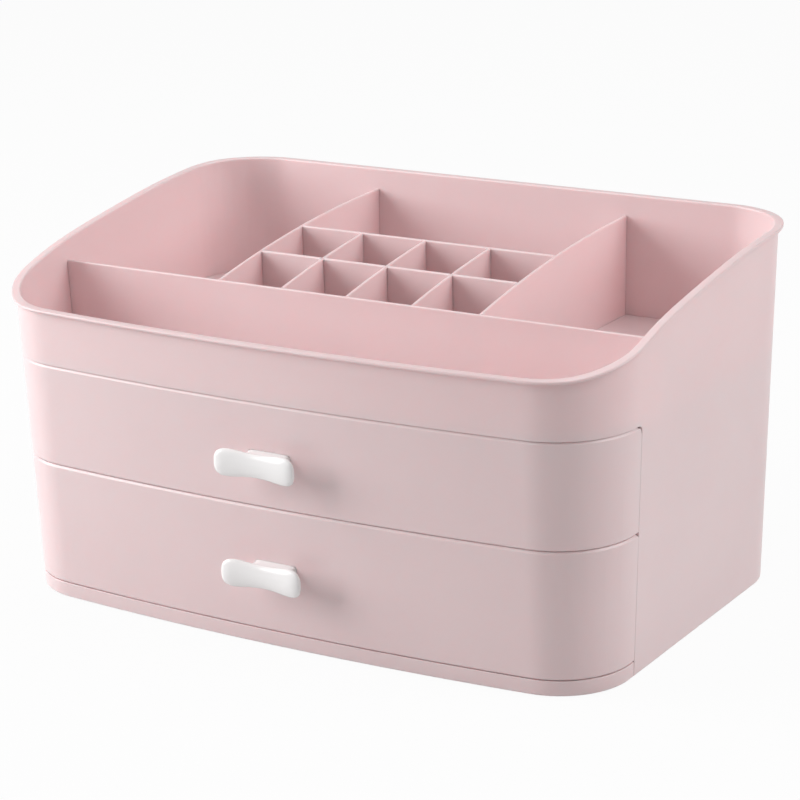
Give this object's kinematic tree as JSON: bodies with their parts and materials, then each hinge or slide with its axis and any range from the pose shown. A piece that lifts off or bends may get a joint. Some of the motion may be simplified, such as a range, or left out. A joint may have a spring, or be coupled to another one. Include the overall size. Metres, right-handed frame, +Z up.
{
  "type": "makeup organizer",
  "caption": "Flared plastic makeup organizer with an open divided tray on top and two drawers behind bowed fronts with small white handles.",
  "frame": {"origin": "on the table, under the middle of the whole part with both drawers shut", "axes": "+X to the right as seen from the front, +Y from the drawer fronts to the back, +Z up"},
  "size_m": [0.316, 0.2194, 0.1678],
  "materials": {
    "body_plastic": "satin moulded plastic, pale pink",
    "handle_plastic": "gloss moulded plastic, white",
    "screw_steel": "bright zinc plate",
    "foot_rubber": "soft matt rubber, pale grey"
  },
  "bodies": {
    "case": {"outer_case": "body_plastic", "tray_deck": "body_plastic", "front_divider": "body_plastic", "left_partition": "body_plastic", "right_partition": "body_plastic", "grid_middle_wall": "body_plastic", "grid_rear_wall": "body_plastic", "grid_slat_left": "body_plastic", "grid_slat_middle": "body_plastic", "grid_slat_right": "body_plastic", "middle_shelf": "body_plastic", "base_plate": "body_plastic", "base_screws": "screw_steel", "anti_slip_feet": "foot_rubber"},
    "upper_drawer": {"upper_drawer_tray": "body_plastic", "upper_handle": "handle_plastic", "upper_handle_screw": "screw_steel"},
    "lower_drawer": {"lower_drawer_tray": "body_plastic", "lower_handle": "handle_plastic", "lower_handle_screw": "screw_steel"}
  },
  "joints": [
    {"name": "upper_drawer_slide", "type": "slide", "parent": "case", "child": "upper_drawer", "axis": [0, -1, 0], "range_m": [0, 0.125]},
    {"name": "lower_drawer_slide", "type": "slide", "parent": "case", "child": "lower_drawer", "axis": [0, -1, 0], "range_m": [0, 0.125]}
  ]
}
